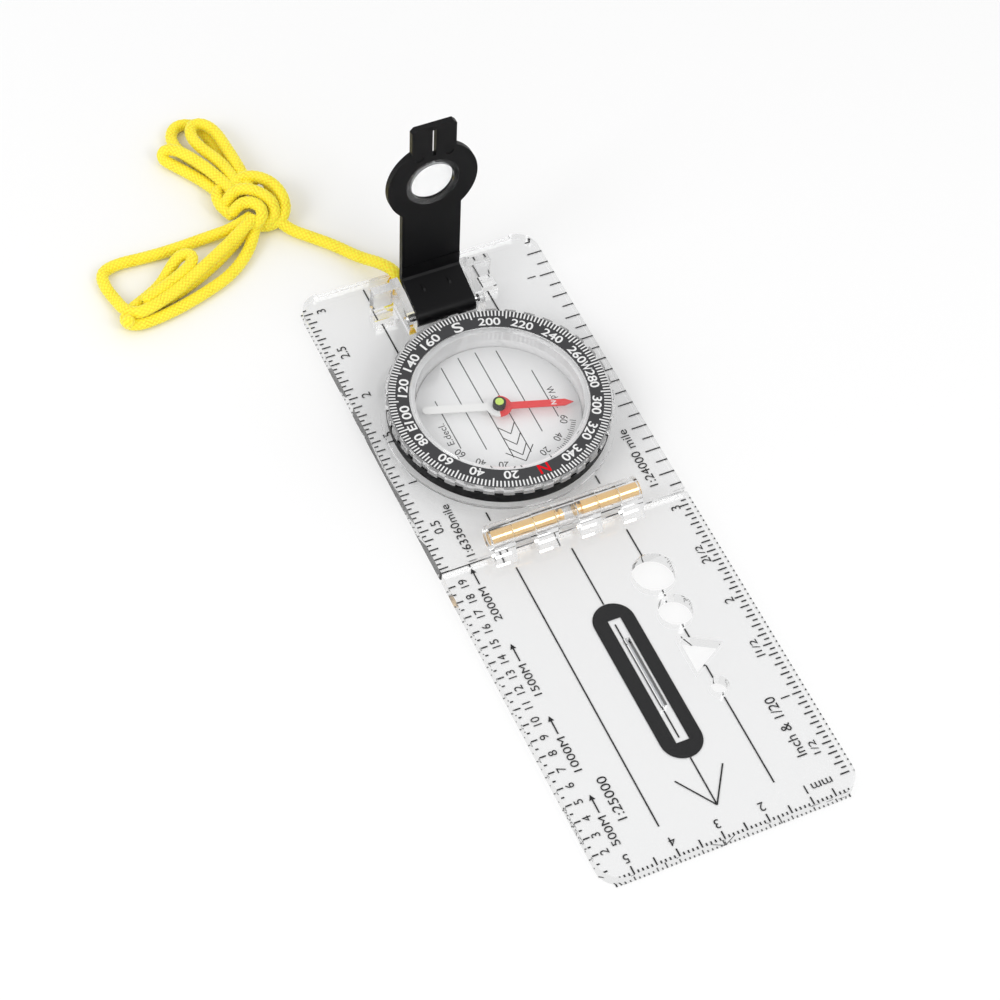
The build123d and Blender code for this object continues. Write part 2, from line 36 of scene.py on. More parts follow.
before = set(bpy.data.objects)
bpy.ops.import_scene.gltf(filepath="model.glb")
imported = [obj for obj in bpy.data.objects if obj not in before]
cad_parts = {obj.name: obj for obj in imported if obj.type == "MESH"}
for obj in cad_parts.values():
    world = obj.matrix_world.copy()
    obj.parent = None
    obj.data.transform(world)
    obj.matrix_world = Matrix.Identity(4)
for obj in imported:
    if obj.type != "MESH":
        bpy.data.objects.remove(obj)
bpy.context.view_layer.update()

# ---------------------------------------------------------------- camera

CAMERA_PLACE = Vector((179.27, 318.59, 471.93)) * MM
CAMERA_FORWARD = Vector((-0.29254, -0.51206, -0.80760))
CAMERA_UP = Vector((-0.30491, -0.75052, 0.58631))
CAMERA_LENS = 98.8
SENSOR_WIDTH = 36.0


def make_camera():
    """The camera from which the compass looks as it does in the photo."""
    data = bpy.data.cameras.new("camera")
    data.sensor_width = SENSOR_WIDTH
    data.lens = CAMERA_LENS
    data.clip_start = 0.01
    camera = bpy.data.objects.new("camera", data)
    bpy.context.scene.collection.objects.link(camera)
    back = -CAMERA_FORWARD.normalized()
    right = CAMERA_UP.cross(back).normalized()
    up = back.cross(right)
    turn = Matrix((right, up, back)).transposed()
    camera.matrix_world = Matrix.Translation(CAMERA_PLACE) @ turn.to_4x4()
    bpy.context.scene.camera = camera


make_camera()

# ---------------------------------------------------------------- material helpers

NOISE_LOW = 0.3
NOISE_HIGH = 0.7


def new_material(name, color, roughness, **sockets):
    """Principled material; extra sockets are given by name with _ for a space."""
    material = bpy.data.materials.new(name)
    material.use_nodes = True
    shader = material.node_tree.nodes["Principled BSDF"]
    shader.inputs["Base Color"].default_value = (*color, 1.0)
    shader.inputs["Roughness"].default_value = roughness
    for socket, value in sockets.items():
        shader.inputs[socket.replace("_", " ")].default_value = value
    return material


def node(material, kind, **settings):
    """A new node of one kind, with some of its settings given by name."""
    made = material.node_tree.nodes.new(kind)
    for key, value in settings.items():
        setattr(made, key, value)
    return made


def link(material, source, target):
    material.node_tree.links.new(source, target)


def shader_of(material):
    return material.node_tree.nodes["Principled BSDF"]


def object_coordinates(material, scale=(1, 1, 1)):
    """Object-space position, scaled."""
    place = node(material, "ShaderNodeTexCoord")
    mapping = node(material, "ShaderNodeMapping")
    mapping.inputs["Scale"].default_value = scale
    link(material, place.outputs["Object"], mapping.inputs["Vector"])
    return mapping.outputs["Vector"]


def noise(material, scale, detail=4.0, vector=None):
    """Noise value, in object space unless another vector is given."""
    texture = node(material, "ShaderNodeTexNoise")
    texture.inputs["Scale"].default_value = scale
    texture.inputs["Detail"].default_value = detail
    link(material, vector or object_coordinates(material), texture.inputs["Vector"])
    return texture.outputs["Fac"]


def remap(material, value, low, high):
    """Noise, which mostly keeps between NOISE_LOW and NOISE_HIGH, stretched to run from low to high."""
    change = node(material, "ShaderNodeMapRange")
    change.inputs["From Min"].default_value = NOISE_LOW
    change.inputs["From Max"].default_value = NOISE_HIGH
    change.inputs["To Min"].default_value = low
    change.inputs["To Max"].default_value = high
    link(material, value, change.inputs["Value"])
    return change.outputs["Result"]


def blend_colors(material, factor, first, second):
    """Colour that runs from first to second as the factor runs from 0 to 1."""
    mix = node(material, "ShaderNodeMix", data_type="RGBA")
    mix.inputs["A"].default_value = (*first, 1.0)
    mix.inputs["B"].default_value = (*second, 1.0)
    link(material, factor, mix.inputs["Factor"])
    return mix.outputs["Result"]


def add_bump(material, height, strength, distance):
    """Fine relief on the surface; distance is in metres."""
    bump = node(material, "ShaderNodeBump")
    bump.inputs["Strength"].default_value = strength
    bump.inputs["Distance"].default_value = distance
    link(material, height, bump.inputs["Height"])
    link(material, bump.outputs["Normal"], shader_of(material).inputs["Normal"])


# ---------------------------------------------------------------- materials

NEEDLE_ANGLE = math.radians(162.6)

# Past this many bounces light goes straight through clear plastic, so that none is trapped in it.
TRAPPED_BOUNCES = 3.5


def clear_plastic(name, tint, shadow_tint, roughness=0.03, haze=0.0):
    """Acrylic that bends light for the eye and lets lamps shine through it."""
    material = new_material(name, tint, roughness, IOR=1.49)
    shader = shader_of(material)
    shader.inputs["Transmission Weight"].default_value = 1.0 - haze
    shader.inputs["Specular IOR Level"].default_value = 0.1
    uneven = remap(material, noise(material, 90.0), roughness * 0.6, roughness * 1.4)
    link(material, uneven, shader.inputs["Roughness"])
    through = node(material, "ShaderNodeBsdfTransparent")
    through.inputs["Color"].default_value = (*shadow_tint, 1.0)
    mix = node(material, "ShaderNodeMixShader")
    link(material, straight_rays(material), mix.inputs["Fac"])
    link(material, shader.outputs["BSDF"], mix.inputs[1])
    link(material, through.outputs["BSDF"], mix.inputs[2])
    output = material.node_tree.nodes["Material Output"]
    link(material, mix.outputs["Shader"], output.inputs["Surface"])
    return material


def straight_rays(material):
    """1 for light from lamps, diffuse light and rays that have bounced many times."""
    rays = node(material, "ShaderNodeLightPath")
    soft = maximum(material, rays.outputs["Is Shadow Ray"], rays.outputs["Is Diffuse Ray"])
    deep = node(material, "ShaderNodeMath", operation="GREATER_THAN")
    deep.inputs[1].default_value = TRAPPED_BOUNCES
    link(material, rays.outputs["Ray Depth"], deep.inputs[0])
    return maximum(material, soft, deep.outputs["Value"])


def maximum(material, first, second):
    """The larger of two node values."""
    most = node(material, "ShaderNodeMath", operation="MAXIMUM")
    link(material, first, most.inputs[0])
    link(material, second, most.inputs[1])
    return most.outputs["Value"]


def black_plastic():
    """Satin moulded plastic with a fine grain."""
    material = new_material("black_plastic", (0.004, 0.004, 0.0045), 0.42, Specular_IOR_Level=0.15)
    grain = noise(material, 3500.0, 2.0)
    uneven = remap(material, noise(material, 160.0), 0.36, 0.5)
    link(material, uneven, shader_of(material).inputs["Roughness"])
    add_bump(material, grain, 0.25, 0.04 * MM)
    return material


def printed(name, color, roughness=0.45):
    """Screen-printed ink with a slightly uneven film."""
    material = new_material(name, color, roughness, Specular_IOR_Level=0.0)
    uneven = noise(material, 900.0, 3.0)
    darker = tuple(0.86 * channel for channel in color)
    shader = shader_of(material)
    link(material, blend_colors(material, uneven, darker, color), shader.inputs["Base Color"])
    return material


def brass():
    """Turned brass, streaked round its axis, which lies along X."""
    material = new_material("brass", (1.0, 0.70, 0.34), 0.16, Metallic=1.0)
    turned = noise(material, 1.0, 3.0, object_coordinates(material, (9000, 400, 400)))
    shader = shader_of(material)
    link(material, remap(material, turned, 0.12, 0.24), shader.inputs["Roughness"])
    shade = blend_colors(material, noise(material, 300.0), (0.97, 0.60, 0.24), (1.0, 0.74, 0.38))
    link(material, shade, shader.inputs["Base Color"])
    add_bump(material, turned, 0.15, 0.01 * MM)
    return material


def steel():
    """Drawn steel wire."""
    material = new_material("steel_wire", (0.6, 0.61, 0.63), 0.3, Metallic=1.0)
    uneven = remap(material, noise(material, 2000.0), 0.22, 0.4)
    link(material, uneven, shader_of(material).inputs["Roughness"])
    return material


def needle_paint():
    """Red on the pole-seeking half, white on the other."""
    material = new_material("needle_paint", (0.75, 0.02, 0.02), 0.35)
    place = node(material, "ShaderNodeTexCoord")
    along = node(material, "ShaderNodeVectorMath", operation="DOT_PRODUCT")
    along.inputs[1].default_value = (math.cos(NEEDLE_ANGLE), math.sin(NEEDLE_ANGLE), 0)
    link(material, place.outputs["Object"], along.inputs[0])
    side = node(material, "ShaderNodeMath", operation="GREATER_THAN")
    side.inputs[1].default_value = 0.0
    link(material, along.outputs["Value"], side.inputs[0])
    color = blend_colors(material, side.outputs["Value"], (0.86, 0.86, 0.85), (0.78, 0.012, 0.016))
    link(material, color, shader_of(material).inputs["Base Color"])
    return material


def frosted():
    """Pale disc behind the needle, lightly speckled."""
    material = new_material("frosted_disc", (0.80, 0.80, 0.80), 0.35)
    speckle = noise(material, 1400.0, 5.0)
    color = blend_colors(material, speckle, (0.86, 0.86, 0.865), (0.92, 0.92, 0.92))
    link(material, color, shader_of(material).inputs["Base Color"])
    return material


def braid_yarn():
    """Soft yellow yarn with painted shade: deeper orange in the grooves between its strands and lighter
    on their tops.
    """
    material = new_material(
        "braid_yarn",
        (1.0, 0.80, 0.0),
        0.5,
        Sheen_Weight=0.35,
        Sheen_Roughness=0.4,
        Subsurface_Weight=0.15,
        Subsurface_Radius=(0.0012, 0.0008, 0.0002),
        Subsurface_Scale=1.0,
    )
    strand_height = node(material, "ShaderNodeAttribute", attribute_name="strand_height")
    # Painted shade: the strands' height colours the grooves deep orange and the strand tops light
    # yellow, standing in for the shade that falls between the strands.
    color = blend_colors(material, strand_height.outputs["Fac"], (1.0, 0.58, 0.0), (1.0, 0.94, 0.04))
    link(material, color, shader_of(material).inputs["Base Color"])
    add_bump(material, noise(material, 6000.0, 2.0), 0.35, 0.05 * MM)
    return material


ACRYLIC = clear_plastic("clear_acrylic", (0.955, 0.957, 0.96), (0.945, 0.945, 0.945))
CAPSULE = clear_plastic("clear_capsule", (0.98, 0.982, 0.985), (0.98, 0.98, 0.98), 0.01)
BEZEL = clear_plastic("bezel_plastic", (0.95, 0.95, 0.955), (0.98, 0.98, 0.98), 0.03, 0.2)
CUP = clear_plastic("cup_plastic", (0.96, 0.96, 0.965), (0.98, 0.98, 0.98), 0.03, 0.6)
BLACK = black_plastic()
DIAL_GREY = printed("dial_grey", (0.07, 0.07, 0.073), 0.4)
BRASS = brass()
STEEL = steel()
NEEDLE_PAINT = needle_paint()
FROSTED = frosted()
YARN = braid_yarn()
SMOKE = clear_plastic("smoke_plastic", (0.45, 0.46, 0.47), (0.6, 0.6, 0.6), 0.08)
JEWEL = new_material("jewel", (0.45, 0.03, 0.08), 0.1)
LUMINOUS = printed("luminous_paint", (0.62, 0.85, 0.16), 0.6)
BLACK_INK = printed("black_ink", (0.003, 0.003, 0.004), 0.5)
WHITE_INK = printed("white_ink", (0.88, 0.88, 0.88), 0.5)
RED_INK = printed("red_ink", (0.80, 0.01, 0.02), 0.45)

CAD_MATERIALS = {
    "base_plate": ACRYLIC,
    "rule_plate": ACRYLIC,
    "bezel": BEZEL,
    "capsule_cup": CUP,
    "capsule_lens": CAPSULE,
    "sight_lens": CAPSULE,
    "lens_ring": SMOKE,
    "retaining_ring": BLACK,
    "sight_arm": BLACK,
    "needle_hub": BLACK,
    "dial_ring": DIAL_GREY,
    "orienting_disc": FROSTED,
    "pivot_post": BRASS,
    "hinge_pin_left": BRASS,
    "hinge_pin_right": BRASS,
    "sighting_wire": STEEL,
    "needle": NEEDLE_PAINT,
    "jewel_bearing": JEWEL,
    "luminous_dot": LUMINOUS,
    "lanyard_stop": YARN,
}

for name, material in CAD_MATERIALS.items():
    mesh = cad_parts[name].data
    mesh.materials.clear()
    mesh.materials.append(material)

# ---------------------------------------------------------------- printing

INK_HEIGHT = 0.03
CAPITAL_HEIGHT = 0.72


class Ink:
    """Thin printed shapes that share one material and ride on one body; millimetres."""

    def __init__(self, name, body, z, material):
        self.name = name
        self.body = body
        self.z = z
        self.material = material
        self.mesh = bmesh.new()

    def polygon(self, points):
        """Filled shape with corners at points."""
        corners = [self.mesh.verts.new((x * MM, y * MM, self.z * MM)) for x, y in points]
        self.mesh.faces.new(corners)

    def line(self, start, end, width):
        """Straight line with square ends."""
        start = Vector(start)
        end = Vector(end)
        side = (end - start).orthogonal().normalized() * (width / 2)
        self.polygon([start + side, end + side, end - side, start - side])

    def text(self, words, height, place, along, bold=0.0, length=None):
        """Words centred on place, read in the direction along; height is that of capitals."""
        data = bpy.data.curves.new("words", "FONT")
        data.body = words
        data.offset = bold
        holder = bpy.data.objects.new("words", data)
        bpy.context.scene.collection.objects.link(holder)
        bpy.context.view_layer.update()
        shape = bpy.data.meshes.new_from_object(holder)
        across = [vertex.co.x for vertex in shape.vertices]
        middle = (min(across) + max(across)) / 2
        scale_y = height / CAPITAL_HEIGHT * MM
        scale_x = scale_y if length is None else length / (max(across) - min(across)) * MM
        turn = math.atan2(along[1], along[0])
        shape.transform(
            Matrix.Translation((place[0] * MM, place[1] * MM, self.z * MM))
            @ Matrix.Rotation(turn, 4, "Z")
            @ Matrix.Diagonal((scale_x, scale_y, scale_y, 1))
            @ Matrix.Translation((-middle, -CAPITAL_HEIGHT / 2, 0))
        )
        self.mesh.from_mesh(shape)
        bpy.data.objects.remove(holder)
        bpy.data.curves.remove(data)
        bpy.data.meshes.remove(shape)

    def finish(self):
        """Make the print an object that rides on its body."""
        data = bpy.data.meshes.new(self.name)
        self.mesh.to_mesh(data)
        self.mesh.free()
        data.materials.append(self.material)
        made = bpy.data.objects.new(self.name, data)
        bpy.context.scene.collection.objects.link(made)
        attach(made, self.body)


LINE = 0.32
TICK = 0.32
FINE_LINE = 0.22
LONG_LINE_X = 12.9
LABEL = 2.1
SMALL_LABEL = 1.9
TOWARDS_REAR = (0, -1)
TOWARDS_FRONT = (0, 1)
TOWARDS_RIGHT = (1, 0)
INCH = 25.4
MILE = 1609344


def print_twentieths(ink, unit, origin_y, counts, edge, long_end, short_end):
    """Ticks from the edge inwards at each twentieth of a unit, long at each tenth."""
    for count in counts:
        y = origin_y - unit * count / 20
        inner = long_end if count % 2 == 0 else short_end
        ink.line((inner, y), (edge, y), TICK)


# rule plate -----------------------------------------------------

rule_ink = Ink("rule_print", "rule", INK_HEIGHT, BLACK_INK)


def print_millimetres(ink):
    """Ruler along the far end: a tick for each millimetre and figures for centimetres."""
    origin_x = -28.0
    edge = 112.1
    long_end = 109.5
    short_end = 110.7
    for millimetre in range(2, 55):
        x = origin_x + millimetre
        inner = long_end if millimetre % 5 == 0 else short_end
        ink.line((x, inner), (x, edge), TICK)
        if millimetre % 10 == 0:
            ink.text(str(millimetre // 10), LABEL, (x, 107.8), TOWARDS_RIGHT)
    ink.text("mm", 2.0, (origin_x + 6.3, 107.9), TOWARDS_RIGHT, length=4.6)


def print_inches(ink):
    """Ruler along the edge at -X in twentieths of an inch."""
    origin_y = 112.4
    print_twentieths(ink, INCH, origin_y, range(4, 62), -28.15, -26.1, -27.0)
    for half in range(1, 7):
        whole, rest = divmod(half, 2)
        y = origin_y - INCH * half / 2
        x = -24.05 - 0.17 * half
        if whole:
            ink.text(str(whole), LABEL, (x, y + 1.9 * rest), TOWARDS_REAR)
        if rest:
            ink.text("1/2", 1.6, (x, y - 0.6 * min(whole, 1)), TOWARDS_REAR, length=3.2)
    ink.text("Inch & 1/20", 2.3, (-21.05, 93.2), TOWARDS_REAR, length=14.8)


def print_distance(ink, words, x, first, last, tip):
    """Distance written from first to last along Y, then an arrow to its mark."""
    head_length = 1.2
    head_half_width = 0.65
    neck = tip + head_length
    barb = neck + 0.1
    ink.text(words, 1.8, (x, (first + last) / 2), TOWARDS_REAR, length=first - last)
    ink.line((x, last - 0.9), (x, neck), 0.3)
    ink.polygon([(x, tip), (x + head_half_width, barb), (x, neck), (x - head_half_width, barb)])


def print_metres(ink):
    """Map scale of 1:25000 along the edge at +X, a long tick for each 100 m."""
    origin_y = 112.7
    hundred_metres = 4.0
    last = 19
    for count in range(1, last + 1):
        y = origin_y - hundred_metres * count
        halfway = y - hundred_metres / 2
        ink.line((26.6, y), (28.4, y), TICK)
        if count < last:
            ink.line((27.3, halfway), (28.0, halfway), TICK)
        if count > 1:
            ink.text(str(count), SMALL_LABEL, (25.4 - 0.03 * count, y), TOWARDS_REAR)
    print_distance(ink, "500M", 22.4, 104.4, 97.4, 92.1)
    print_distance(ink, "1000M", 22.15, 86.4, 78.0, 72.6)
    print_distance(ink, "1500M", 21.95, 67.3, 59.4, 54.0)
    print_distance(ink, "2000M", 21.75, 47.9, 39.1, 33.9)
    ink.text("1:25000", LABEL, (18.8, 94.45), TOWARDS_REAR, length=10.4)


def limited(value, low, high):
    """The value, or the nearer limit if it lies outside them."""
    return min(max(value, low), high)


def stadium_rim(centre_x, low_y, high_y, radius):
    """Points round two straight sides and the round ends centred at low_y and high_y."""
    steps = 32
    rim = []
    for centre_y, first in ((high_y, 0.0), (low_y, math.pi)):
        for step in range(steps + 1):
            angle = first + math.pi * step / steps
            rim.append((centre_x + radius * math.cos(angle), centre_y + radius * math.sin(angle)))
    return rim


def print_stadium(ink):
    """Black frame round the sighting slot, open in the middle."""
    rim = stadium_rim(centre_x=-0.2, low_y=57.3, high_y=87.55, radius=4.6)
    window_x = (-1.8, 1.1)
    window_y = (56.7, 88.2)
    window = [(limited(x, *window_x), limited(y, *window_y)) for x, y in rim]
    for index in range(-1, len(rim) - 1):
        near, far = window[index], window[index + 1]
        corners = [rim[index], rim[index + 1], far]
        if near != far:
            corners.append(near)
        ink.polygon(corners)
    ink.line((0, 57.9), (0, 62.6), TICK)
    ink.line((0, 80.4), (0, 87.2), TICK)


def print_rule_lines(ink):
    """Long lines; the one that crosses the template openings is broken at each of them."""
    start = 37.2
    finish = 103.8
    arrow_tip = 103.9
    ink.line((LONG_LINE_X, start), (LONG_LINE_X, finish), LINE)
    for low, high in ((start, 45.3), (55.1, 56.3), (64.3, 67.9), (74.0, 77.8), (82.2, finish)):
        ink.line((-LONG_LINE_X, low), (-LONG_LINE_X, high), LINE)
    ink.line((0, start), (0, 52.6), LINE)
    ink.line((0, 92.2), (0, arrow_tip), LINE)
    for side in (-1, 1):
        ink.line((0, arrow_tip), (side * 5.4, 95.9), LINE)


print_millimetres(rule_ink)
print_inches(rule_ink)
print_metres(rule_ink)
print_stadium(rule_ink)
print_rule_lines(rule_ink)
rule_ink.finish()

# base plate -----------------------------------------------------

base_ink = Ink("base_print", "base", INK_HEIGHT, BLACK_INK)


def print_miles_63360(ink):
    """Map scale of 1:63360 along the edge at +X: one inch to the mile, in twentieths."""
    origin_y = 34.2
    mile = MILE / 63360
    print_twentieths(ink, mile, origin_y, range(1, 62), 28.3, 26.0, 27.1)
    for half in range(1, 7):
        words = f"{half / 2:g}"
        ink.text(words, LABEL, (24.1, origin_y - mile * half / 2 + 0.1), TOWARDS_REAR)
    ink.text("1:63360mile", 1.95, (20.45, 23.9), TOWARDS_REAR, length=14.0)


def print_miles_24000(ink):
    """Map scale of 1:24000 along the edge at -X, in twentieths of a mile."""
    origin_y = 33.8
    mile = MILE / 24000
    print_twentieths(ink, mile, origin_y, range(1, 24), -28.6, -25.8, -26.7)
    ink.text("1", LABEL, (-23.8, origin_y - mile - 0.3), TOWARDS_REAR)
    ink.text("1:24000 mile", 2.05, (-23.5, 21.15), TOWARDS_REAR, length=16.1)


def print_base_lines(ink):
    """The rule plate's long lines carried on between the hinge, dial and sight, and the zero mark."""
    for x in (-LONG_LINE_X, LONG_LINE_X):
        ink.line((x, -44.2), (x, -36.2), LINE)
        ink.line((x, -33.0), (x, -21.5), LINE)
        ink.line((x, 22.0), (x, 24.3), LINE)
    ink.line((0, 25.8), (0, 29.0), LINE)
    ink.polygon([(21.15, 32.1), (22.35, 32.1), (21.75, 33.25)])


print_miles_63360(base_ink)
print_miles_24000(base_ink)
print_base_lines(base_ink)
base_ink.finish()

# dial ring ------------------------------------------------------

DIAL_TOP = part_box("dial_ring")[1].z / MM
DIAL_RADIUS = 24.0
DIAL_TEXT_RADIUS = 20.95
DIAL_TURN = -1.8


def compass_point(bearing, radius):
    """Place at a bearing clockwise from the dial's north."""
    angle = math.radians(bearing)
    return radius * math.sin(angle), radius * math.cos(angle)


def clockwise(bearing):
    """Direction of travel clockwise round the dial at a bearing."""
    angle = math.radians(bearing)
    return math.cos(angle), -math.sin(angle)


def print_dial(ink, north_ink):
    """A tick each two degrees, figures each twenty and letters at the four quarters."""
    for bearing in range(0, 360, 2):
        at = bearing + DIAL_TURN
        inner = 21.9 if bearing % 20 == 10 else 22.5
        ink.line(compass_point(at, inner), compass_point(at, DIAL_RADIUS), 0.33)
    for bearing in range(20, 360, 20):
        if bearing != 180:
            length = 4.9 if bearing >= 100 else 3.2
            print_bearing(ink, str(bearing), bearing, 2.05, length)
    print_bearing(ink, "E", 90, 2.0, 1.5)
    print_bearing(ink, "S", 180, 2.7, 2.2)
    print_bearing(ink, "W", 270, 2.0, 2.4)
    print_bearing(north_ink, "N", 0, 2.5, 2.5)


def print_bearing(ink, words, bearing, height, length):
    """Figures or a letter, length long, with the top outwards."""
    at = bearing + DIAL_TURN
    ink.text(words, height, compass_point(at, DIAL_TEXT_RADIUS), clockwise(at), 0.018, length)


dial_ink = Ink("dial_print", "dial", DIAL_TOP + 0.01, WHITE_INK)
north_ink = Ink("north_mark", "dial", DIAL_TOP + 0.012, RED_INK)
print_dial(dial_ink, north_ink)
dial_ink.finish()
north_ink.finish()

# orienting disc -------------------------------------------------

DISC_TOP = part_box("orienting_disc")[1].z / MM


def print_disc(ink):
    """Meridian lines, the orienting arrow and the declination scale."""
    print_radius = 16.9
    for x, low, high in ((11.6, -7.8, 6.0), (6.6, -15.7, 8.3)):
        ink.line((x, low), (x, high), FINE_LINE)
        ink.line((-x, low), (-x, high), FINE_LINE)
    for side in (-1, 1):
        ink.line((side * 2.05, -print_radius), (side * 2.05, 12.4), FINE_LINE)
        ink.line((side * 3.25, 10.7), (0, 14.2), FINE_LINE)
        for chevron in (6.4, 9.5, 12.5):
            ink.line((0, chevron), (side * 2.0, chevron - 2.6), FINE_LINE)
    for bearing in range(-60, 61, 2):
        inner = 15.5 if bearing % 10 == 0 else 15.9
        ink.line(compass_point(bearing, inner), compass_point(bearing, print_radius), 0.17)
    for bearing in (20, 40, 60):
        for side in (-1, 1):
            angle = side * bearing
            ink.text(str(bearing), 1.7, compass_point(angle, 14.3), clockwise(angle), length=2.2)
    ink.text("W.decl.", 1.6, (-13.1, 0.8), TOWARDS_FRONT, length=6.0)
    ink.text("E.decl.", 1.6, (13.1, 1.4), TOWARDS_REAR, length=6.0)


disc_ink = Ink("disc_print", "dial", DISC_TOP + 0.01, BLACK_INK)
print_disc(disc_ink)
disc_ink.finish()

# needle ---------------------------------------------------------

NEEDLE_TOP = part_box("needle")[1].z / MM
LETTER_RADIUS = 11.9


def print_needle(ink):
    """N near the red end, read across the needle."""
    along = (math.cos(NEEDLE_ANGLE), math.sin(NEEDLE_ANGLE))
    across = (-along[1], along[0])
    place = (LETTER_RADIUS * along[0], LETTER_RADIUS * along[1])
    ink.text("N", 1.1, place, across, bold=0.03)


needle_ink = Ink("needle_letter", "magnet", NEEDLE_TOP + 0.01, WHITE_INK)
print_needle(needle_ink)
needle_ink.finish()

# ---------------------------------------------------------------- lanyard

CORD_DIAMETER = 2.8
STRANDS = 16
STRAND_PITCH = 8.8
RIDGE_DEPTH = 0.26
STRAND_DIP = 0.35
END_ROUNDING = 0.8
END_TAPER = 0.02
ALONG_STEP = 0.16
AROUND_STEPS = 56

LEAD_ROUTE = (
    (4.4, -41.9, 0.6),
    (4.9, -43.0, 4.8),
    (7.2, -47.8, 4.2),
    (10.3, -53.0, 1.9),
    (14.0, -58.8, 1.45),
    (18.2, -63.3, 1.4),
    (21.6, -66.8, 1.5),
    (23.9, -70.9, 3.0),
    (25.0, -73.6, 4.2),
)
UPPER_LOOPS = {
    "lanyard_upper_loop_a": (
        (26.6, -77.5, 5.2),
        (26.2, -84.0, 5.0),
        (26.5, -92.9, 4.4),
        (27.0, -98.8, 4.3),
        (28.8, -102.2, 4.2),
        (31.4, -102.6, 4.2),
        (32.9, -99.8, 4.2),
        (32.2, -95.6, 4.2),
        (29.6, -89.6, 4.4),
        (28.6, -84.0, 4.8),
        (28.2, -78.0, 5.0),
    ),
    "lanyard_upper_loop_b": (
        (28.4, -78.0, 2.2),
        (28.0, -87.0, 1.5),
        (27.8, -96.0, 1.4),
        (28.8, -102.8, 1.4),
        (31.4, -106.0, 1.4),
        (34.8, -105.8, 1.4),
        (36.7, -102.6, 1.5),
        (36.5, -98.6, 1.8),
        (34.6, -94.4, 1.9),
        (31.8, -88.6, 2.0),
        (30.4, -84.0, 2.4),
        (29.6, -78.5, 3.0),
    ),
    "lanyard_upper_loop_c": (
        (29.6, -78.0, 4.6),
        (32.0, -86.5, 4.4),
        (35.4, -93.6, 4.3),
        (38.0, -97.2, 4.1),
        (40.2, -98.2, 3.2),
        (40.7, -96.9, 1.9),
        (39.0, -94.9, 1.4),
        (35.8, -90.1, 1.4),
        (33.2, -85.0, 1.6),
        (31.6, -79.5, 2.2),
    ),
}
LOWER_LOOPS = {
    "lanyard_lower_loop_a": (
        (28.0, -72.2, 3.6),
        (33.0, -70.9, 2.4),
        (39.9, -71.2, 1.6),
        (47.5, -70.8, 1.4),
        (54.8, -70.8, 1.4),
        (61.2, -71.4, 1.4),
        (65.4, -70.2, 1.4),
        (66.0, -66.2, 1.4),
        (65.2, -62.0, 1.5),
        (64.6, -57.6, 2.4),
        (62.6, -54.4, 3.6),
        (58.6, -54.9, 3.9),
        (52.1, -57.4, 3.8),
        (45.6, -60.6, 4.1),
        (39.6, -63.9, 4.2),
        (33.6, -67.4, 4.3),
        (28.2, -70.6, 4.8),
    ),
    "lanyard_lower_loop_b": (
        (28.2, -70.4, 2.6),
        (30.6, -66.2, 2.0),
        (34.6, -62.0, 1.5),
        (39.6, -58.6, 1.4),
        (45.8, -56.3, 1.4),
        (52.2, -54.4, 1.4),
        (58.0, -53.3, 1.4),
        (63.2, -52.9, 1.5),
        (65.6, -54.6, 1.8),
        (63.8, -57.0, 2.0),
        (58.8, -59.4, 1.7),
        (54.4, -61.7, 1.8),
        (51.0, -64.6, 3.0),
        (48.0, -66.6, 4.0),
        (45.4, -65.6, 4.3),
        (46.4, -62.9, 4.4),
        (50.6, -60.6, 4.3),
        (55.4, -58.6, 4.2),
        (60.4, -56.6, 4.4),
    ),
    "lanyard_lower_loop_c": (
        (64.0, -53.9, 4.2),
        (65.9, -52.8, 3.0),
        (63.4, -55.4, 1.6),
        (58.6, -56.6, 1.4),
        (52.6, -58.0, 1.4),
        (46.0, -60.6, 1.4),
        (39.6, -64.0, 1.5),
        (33.8, -67.6, 1.9),
        (28.6, -71.0, 2.6),
    ),
}
KNOT_WRAPS = (
    (
        (31.5, -81.0, 3.0),
        (28.6, -82.2, 5.0),
        (25.0, -81.2, 6.4),
        (21.8, -77.6, 6.8),
        (20.5, -73.4, 6.2),
        (20.9, -70.2, 4.0),
        (23.4, -68.9, 2.0),
        (27.0, -69.6, 1.6),
    ),
    (
        (33.0, -77.5, 2.6),
        (31.6, -78.2, 5.4),
        (28.6, -77.6, 7.2),
        (25.4, -74.8, 7.4),
        (23.4, -71.6, 6.2),
        (24.0, -69.4, 3.4),
        (27.0, -69.8, 2.0),
    ),
    (
        (32.8, -74.6, 2.4),
        (30.6, -75.0, 5.2),
        (28.2, -73.6, 6.6),
        (26.4, -71.0, 6.4),
        (27.4, -69.0, 4.4),
        (30.4, -69.4, 2.4),
    ),
    (
        (30.5, -83.4, 2.0),
        (32.9, -82.6, 3.2),
        (34.0, -80.0, 3.4),
        (33.8, -76.8, 3.0),
        (31.8, -74.0, 2.0),
    ),
    (
        (27.0, -80.2, 2.2),
        (24.6, -82.2, 3.6),
        (22.2, -81.4, 4.2),
        (21.2, -78.6, 3.8),
        (22.6, -75.4, 2.6),
    ),
    (
        (22.0, -79.0, 1.5),
        (20.6, -75.0, 1.6),
        (21.6, -70.6, 1.5),
        (26.0, -69.0, 1.4),
        (31.0, -72.0, 1.5),
    ),
    (
        (24.6, -77.0, 3.4),
        (27.2, -75.4, 4.2),
        (29.6, -75.6, 3.6),
        (31.0, -78.4, 2.4),
    ),
)


